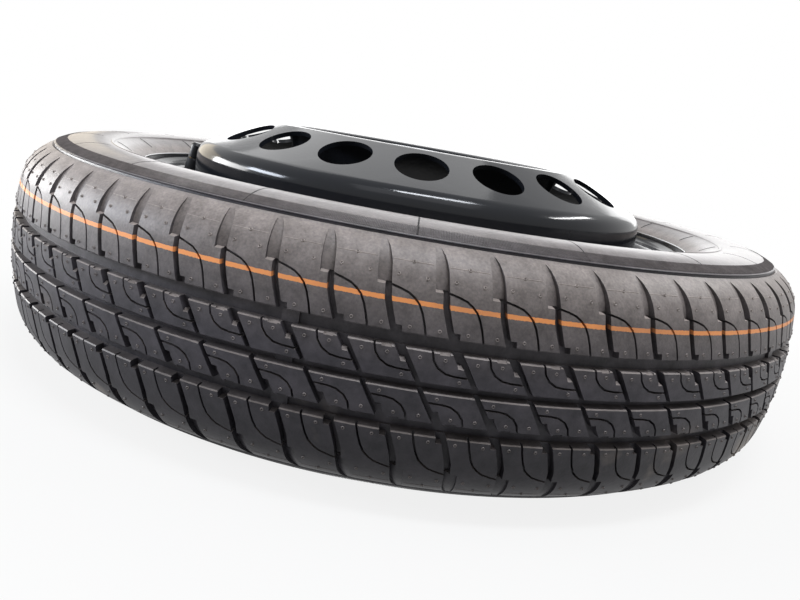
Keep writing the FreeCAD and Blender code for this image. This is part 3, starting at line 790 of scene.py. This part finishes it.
def makeSpring():
    joints = {joint["name"]: joint for joint in frame["record"]["behaviour"]["joints"]}
    axis = -Vector(joints["valve_pin_press"]["axis"]).normalized()
    spot = Vector(joints["valve_cap_turn"]["pos_m"])
    spots = [vertex.co - spot for vertex in frame["nodes"]["core_spring"].data.vertices]
    along = [place.dot(axis) for place in spots]
    wire = springSpec["wire"] * mm
    reach = max((place - axis * level).length for place, level in zip(spots, along)) - wire
    tall = max(along) - min(along)
    deselectAll()
    bpy.ops.mesh.primitive_circle_add(vertices=springSpec["wireSides"], radius=wire, fill_type="NOTHING",
                                      location=(-reach, 0, wire), rotation=(math.pi / 2, 0, 0))
    spring = settle()
    spring.name = "coiledSpring"
    steps = springSpec["turns"] * springSpec["stepsPerTurn"]
    applyChange(spring, "SCREW", {"axis": "Z", "angle": 2 * math.pi * springSpec["turns"],
                                  "screw_offset": tall - 2 * wire, "steps": steps, "render_steps": steps})
    editAll(spring)
    bpy.ops.mesh.fill_holes(sides=0)
    bpy.ops.mesh.select_all(action="SELECT")
    bpy.ops.mesh.normals_make_consistent(inside=False)
    endEdit()
    foot = spot + axis * min(along)
    lean = Vector((0, 0, 1)).rotation_difference(axis).to_matrix().to_4x4()
    spring.data.transform(Matrix.Translation(foot) @ lean)
    smooth(spring, springSpec["smoothAngle"])
    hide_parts("core_spring")
    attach(spring, "wheel")
    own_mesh(spring)
    print("spring:", len(spring.data.polygons), "faces")
    return spring


springPiece = makeSpring()


# materials

def feed(tree, socket, value):
    # the value is a number, a hex colour or another node's output
    if isinstance(value, bpy.types.NodeSocket):
        tree.links.new(value, socket)
    else:
        socket.default_value = linear(value) if isinstance(value, str) else value


def addNode(tree, kind, settings=None):
    node = tree.nodes.new(kind)
    for name, value in (settings or {}).items():
        if isinstance(name, int) or name in node.inputs.keys():
            feed(tree, node.inputs[name], value)
        else:
            setattr(node, name, value)
    return node


def mapRange(tree, value, source, target=(0.0, 1.0)):
    return addNode(tree, "ShaderNodeMapRange", {"Value": value, "From Min": source[0], "From Max": source[1],
                                                "To Min": target[0], "To Max": target[1]}).outputs[0]


def calculate(tree, operation, *values, clamp=False):
    settings = {"operation": operation, "use_clamp": clamp}
    settings.update(enumerate(values))
    return addNode(tree, "ShaderNodeMath", settings).outputs[0]


def vectorLength(tree, vector):
    return addNode(tree, "ShaderNodeVectorMath", {"operation": "LENGTH", 0: vector}).outputs["Value"]


def mixColours(tree, factor, first, second):
    settings = {"data_type": "RGBA", "Factor": factor, "A": first, "B": second}
    return addNode(tree, "ShaderNodeMix", settings).outputs["Result"]


def noise(tree, spot, scale, detail, roughness=0.5):
    settings = {"Scale": scale, "Detail": detail, "Roughness": roughness, "Vector": spot}
    return addNode(tree, "ShaderNodeTexNoise", settings).outputs["Fac"]


def addBump(tree, shader, height, strength, distance):
    bump = addNode(tree, "ShaderNodeBump", {"Strength": strength, "Distance": distance, "Height": height})
    feed(tree, shader.inputs["Normal"], bump.outputs["Normal"])


def newMaterial(name, settings):
    # the material, its nodes, its shader and the place on the piece
    material = bpy.data.materials.new(name)
    material.use_nodes = True
    tree = material.node_tree
    shader = tree.nodes["Principled BSDF"]
    for socket, value in settings.items():
        feed(tree, shader.inputs[socket], value)
    return material, tree, shader, addNode(tree, "ShaderNodeTexCoord").outputs["Object"]


# noises as scale, detail and roughness; levels over the hub face, radii and the bump's depth in m
rubberSpec = {
    "shader": {"IOR": 1.5, "Specular IOR Level": 0.22}, "bump": (0.22, 0.0004),
    "grain": (700.0, 2.0), "cloud": (16.0, 5.0), "mottle": (90.0, 8.0, 0.7),
    "tones": ("#28272B", "#454247"), "toneSpread": (0.32, 0.68),
    # painted shade on the rows next to the floor: their levels, tone and share
    "lowRows": (-0.09, -0.055), "lowShadeTone": "#161518", "lowShade": 0.55,
    "dirt": "#7A7068", "dirtCloud": (0.57, 0.66), "dirtCover": (0.0, 0.75),
    # dust and painted light from above rise together with the level
    "powder": ("#766E69", "#978E88"), "dustAndLightRise": (-0.042, 0.022), "dustAndLightSteep": 1.3,
    "dustGrain": (0.3, 0.7), "dustCover": (0.62, 0.98), "cakedAndLit": 1.1,
    "ridge": (0.0175, 0.0215), "wiped": (1.0, 0.42), "polished": (0.46, 0.3),
    "dullRise": (-0.1, 0.0), "dull": (0.88, 0.46),
    "lineColour": "#E09258", "lineLevel": (40.4 - hubToMiddle) * mm, "lineHalf": 1.15 * mm,
    "lineRagged": 0.0007, "lineRadii": (309.6 * mm, 312.6 * mm),
    "lineCloud": (0.32, 0.5), "lineCover": (0.7, 0.97),
}


def tyreRubber():
    # carbon-black tyre rubber from a steel mould: dark and dull, with storage dust on the upper half that is
    # partly painted light from above, and painted shade low down and in recesses
    spec = rubberSpec
    material, tree, shader, spot = newMaterial("tyreRubber", spec["shader"])
    split = addNode(tree, "ShaderNodeSeparateXYZ", {"Vector": spot})
    level = split.outputs["Z"]
    grain, cloud, mottle = [noise(tree, spot, *spec[name]) for name in ("grain", "cloud", "mottle")]
    patch = mapRange(tree, mottle, spec["toneSpread"])
    tone = mixColours(tree, patch, *spec["tones"])

    # the rows next to the floor are darker with painted shade, with smudges of dried dirt
    low = mapRange(tree, level, spec["lowRows"], (1.0, 0.0))
    shadedLow = mixColours(tree, calculate(tree, "MULTIPLY", low, spec["lowShade"]), tone, spec["lowShadeTone"])
    smudge = mapRange(tree, cloud, spec["dirtCloud"], spec["dirtCover"])
    shadedAndSoiled = mixColours(tree, calculate(tree, "MULTIPLY", low, smudge), shadedLow, spec["dirt"])

    # dust thickens from the middle of the tread up to the ridge, and hands wipe the sidewall over it; this
    # paler top is partly painted light from above
    steep = calculate(tree, "POWER", mapRange(tree, level, spec["dustAndLightRise"]), spec["dustAndLightSteep"])
    settledAndLit = calculate(tree, "MULTIPLY", steep, mapRange(tree, level, spec["ridge"], spec["wiped"]))
    film = calculate(tree, "MULTIPLY", settledAndLit, mapRange(tree, grain, spec["dustGrain"], spec["dustCover"]))
    # besides dust, the per-face amount adds painted light on faces that look up and painted shade in recesses
    # and under the ridge
    held = addNode(tree, "ShaderNodeAttribute", {"attribute_name": "dustLightShadeHeld"}).outputs["Fac"]
    thin = calculate(tree, "MULTIPLY", held, 1 / dustLightShadeSpec["open"], clamp=True)
    extra = calculate(tree, "SUBTRACT", held, dustLightShadeSpec["open"], clamp=True)
    laid = calculate(tree, "MULTIPLY", film, thin)
    cakedAndLit = calculate(tree, "MULTIPLY_ADD", extra, spec["cakedAndLit"], laid, clamp=True)
    dustLightAndShade = mixColours(tree, cakedAndLit, shadedAndSoiled, mixColours(tree, patch, *spec["powder"]))

    # the orange marking line, brushed on round the upper shoulder row
    offset = calculate(tree, "SUBTRACT", level, spec["lineLevel"])
    ragged = calculate(tree, "MULTIPLY_ADD", grain, spec["lineRagged"], -spec["lineRagged"] / 2)
    distance = calculate(tree, "ABSOLUTE", calculate(tree, "ADD", offset, ragged))
    onLine = calculate(tree, "LESS_THAN", distance, spec["lineHalf"])
    flat = addNode(tree, "ShaderNodeCombineXYZ", {"X": split.outputs["X"], "Y": split.outputs["Y"]})
    outside = mapRange(tree, vectorLength(tree, flat.outputs[0]), spec["lineRadii"])
    painted = calculate(tree, "MULTIPLY", onLine, outside)
    cover = calculate(tree, "MULTIPLY", painted, mapRange(tree, cloud, spec["lineCloud"], spec["lineCover"]))
    feed(tree, shader.inputs["Base Color"], mixColours(tree, cover, dustLightAndShade, spec["lineColour"]))

    # the upper side is polished by handling, the floor side stays dull
    dull = mapRange(tree, level, spec["dullRise"], spec["dull"])
    sheen = mapRange(tree, level, spec["ridge"], spec["polished"])
    feed(tree, shader.inputs["Roughness"], calculate(tree, "MINIMUM", dull, sheen))
    addBump(tree, shader, grain, *spec["bump"])
    return material


paintSpec = {
    "shader": {"Base Color": "#16181C", "IOR": 1.5, "Specular IOR Level": 0.24},
    "peel": (420.0, 1.0), "bump": (0.05, 0.0004),
    "haze": (30.0, 4.0), "hazeSpread": (0.3, 0.7), "gloss": (0.1, 0.16),
}


def blackPaint():
    # black enamel sprayed and baked on pressed steel: glossy, with a faint orange peel
    material, tree, shader, spot = newMaterial("blackEnamel", paintSpec["shader"])
    haze = noise(tree, spot, *paintSpec["haze"])
    feed(tree, shader.inputs["Roughness"], mapRange(tree, haze, paintSpec["hazeSpread"], paintSpec["gloss"]))
    addBump(tree, shader, noise(tree, spot, *paintSpec["peel"]), *paintSpec["bump"])
    return material


plainSpec = {"metal": 0.5, "other": 0.3, "grain": (900.0, 2.0), "bump": (0.15, 0.0002)}


def plainFinish(name, colour, roughness, metallic=0.0):
    material, tree, shader, spot = newMaterial(name, {
        "Base Color": colour, "Roughness": roughness, "Metallic": metallic,
        "Specular IOR Level": plainSpec["metal" if metallic else "other"]})
    addBump(tree, shader, noise(tree, spot, *plainSpec["grain"]), *plainSpec["bump"])
    return material


finishes = {
    "tyre_rubber": tyreRubber(),
    "painted_steel": blackPaint(),
    "weld_steel": plainFinish("enamelOnWeld", "#0D0D0E", 0.3),
    "valve_rubber": plainFinish("valveRubber", "#0C0D10", 0.6),
    "brass": plainFinish("turnedBrass", "#B8965A", 0.3, 1.0),
    "spring_steel": plainFinish("springSteel", "#A8A8AA", 0.3, 1.0),
    "seal_rubber": plainFinish("sealRubber", "#1C1C1C", 0.65),
    "cap_plastic": plainFinish("capPlastic", "#0B0C0F", 0.36),
}


def dress(piece, finish):
    piece.data.materials.clear()
    piece.data.materials.append(finish)


slotOf = {part["node"]: part["material_slot"] for part in frame["record"]["subparts"]}
for node, piece in frame["nodes"].items():
    dress(piece, finishes[slotOf[node]])
for piece in (tyrePiece, markPiece, pipPiece):
    dress(piece, finishes["tyre_rubber"])
for piece in (discPiece, rimPiece):
    dress(piece, finishes["painted_steel"])
dress(springPiece, finishes["spring_steel"])
dress(seamPiece, plainFinish("seamShadeRubber", "#0E0E0F", 0.8))  # clean rubber with painted shade: the seams are coloured darker than the wall, like shaded slits
print("materials on", len(frame["nodes"]), "nodes")


# stage

stageSpec = {
    "white": "#FFFFFF", "ambient": 0.28, "floorWide": 30.0,
    "floor": {"Base Color": "#B4B4B2", "Roughness": 0.9, "Specular IOR Level": 0.1},
    # m from the middle of the hub, and how white the floor shows there
    "floorFade": (0.34, 0.7), "floorWhite": (0.85, 1.0),
    "boxPower": 4.0,  # W for each square metre of a soft box at brightness 1
    # soft boxes: direction from the wheel, distance, width and height in m, brightness, colour
    "boxes": {
        "sky": ((-0.2, 0.62, 0.76), 1.5, 1.3, 1.0, 1.25, "#FFFFFF"),
        "back": ((0.1, 0.97, 0.24), 2.0, 2.6, 0.7, 1.6, "#FFFFFF"),
        "backLeft": ((-0.76, 0.64, 0.16), 1.6, 0.9, 0.5, 0.8, "#FFE9BE"),
        "left": ((-0.98, 0.16, 0.12), 1.5, 0.8, 0.4, 12.0, "#FFFFFF"),
        "frontTop": ((0.0, -0.6, 0.8), 1.4, 1.2, 0.6, 0.9, "#FAFAFF"),
        "topStrip": ((0.1, -0.36, 0.93), 1.3, 0.6, 0.16, 38.0, "#F4F8FF"),
        "leftStrip": ((-0.9, -0.25, 0.27), 1.5, 0.55, 0.24, 28.0, "#EAF2FF"),
        "rightStrip": ((0.74, 0.1, 0.62), 1.4, 0.8, 0.06, 40.0, "#FFFFFF"),
    },
}


def seenRay(tree):
    # 1 for what the camera sees, directly or in a reflection or through glass
    rays = addNode(tree, "ShaderNodeLightPath").outputs
    seen = calculate(tree, "MAXIMUM", rays["Is Camera Ray"], rays["Is Glossy Ray"])
    return calculate(tree, "MAXIMUM", seen, rays["Is Transmission Ray"])


def makeFloor():
    # pale floor that runs out into the white backdrop and keeps the shadow near the wheel
    deselectAll()
    bpy.ops.mesh.primitive_plane_add(size=stageSpec["floorWide"], location=(0, 0, cadBox[0][2]))
    floor = settle()
    floor.name = "floor"
    material, tree, shader, spot = newMaterial("paleFloor", stageSpec["floor"])
    fade = mapRange(tree, vectorLength(tree, spot), stageSpec["floorFade"], stageSpec["floorWhite"])
    shown = calculate(tree, "MULTIPLY", fade, seenRay(tree))
    white = addNode(tree, "ShaderNodeEmission", {"Color": stageSpec["white"], "Strength": 1.0})
    mixed = addNode(tree, "ShaderNodeMixShader", {0: shown, 1: shader.outputs["BSDF"], 2: white.outputs[0]})
    feed(tree, tree.nodes["Material Output"].inputs["Surface"], mixed.outputs[0])
    dress(floor, material)


def makeWorld():
    # a dim surround for the light, and a white backdrop for what is seen
    world = bpy.data.worlds.new("studio")
    bpy.context.scene.world = world
    world.use_nodes = True
    tree = world.node_tree
    tree.nodes.clear()
    mixed = addNode(tree, "ShaderNodeMixShader", {0: seenRay(tree)})
    for index, strength in ((1, stageSpec["ambient"]), (2, 1.0)):
        light = addNode(tree, "ShaderNodeBackground", {"Color": stageSpec["white"], "Strength": strength})
        feed(tree, mixed.inputs[index], light.outputs[0])
    addNode(tree, "ShaderNodeOutputWorld", {"Surface": mixed.outputs[0]})


def makeLamps():
    for name, (way, far, wide, high, bright, colour) in stageSpec["boxes"].items():
        spot = Vector(way).normalized() * far
        bpy.ops.object.light_add(type="AREA", location=spot)
        lamp = bpy.context.active_object
        lamp.name = name
        lamp.data.shape = "RECTANGLE"
        lamp.data.size, lamp.data.size_y = wide, high
        lamp.data.energy = bright * stageSpec["boxPower"] * wide * high
        lamp.data.color = linear(colour)[:3]
        lamp.rotation_euler = (-spot).to_track_quat("-Z", "Y").to_euler()
        lamp.visible_camera = False


# fitted to the circles in the photograph: place in mm, angles in radians, focus and width in pixels
cameraSpec = {
    "place": (0.0, -637.5, 67.4), "yaw": -0.00242709, "pitch": -0.22853443, "roll": 0.17564273,
    "focus": 700.5, "imageWide": 800.0, "sensor": 36.0, "nearest": 0.01,
}


def makeCamera():
    bpy.ops.object.camera_add()
    camera = bpy.context.active_object
    camera.name = "camera"
    camera.data.sensor_width = cameraSpec["sensor"]
    camera.data.lens = cameraSpec["sensor"] * cameraSpec["focus"] / cameraSpec["imageWide"]
    camera.data.clip_start = cameraSpec["nearest"]
    yaw, pitch, roll = cameraSpec["yaw"], cameraSpec["pitch"], cameraSpec["roll"]
    right = Vector((math.cos(yaw), math.sin(yaw), 0))
    ahead = Vector((-math.sin(yaw) * math.cos(pitch), math.cos(yaw) * math.cos(pitch), math.sin(pitch)))
    up = right.cross(ahead)
    across = right * math.cos(roll) + up * math.sin(roll)
    upright = up * math.cos(roll) - right * math.sin(roll)
    turned = Matrix((across, upright, -ahead)).transposed().to_4x4()
    camera.matrix_world = Matrix.Translation(Vector(cameraSpec["place"]) * mm) @ turned
    bpy.context.scene.camera = camera


makeFloor()
makeWorld()
makeLamps()
makeCamera()
bpy.context.scene.view_settings.view_transform = "Standard"
print("stage, lamps and camera set")
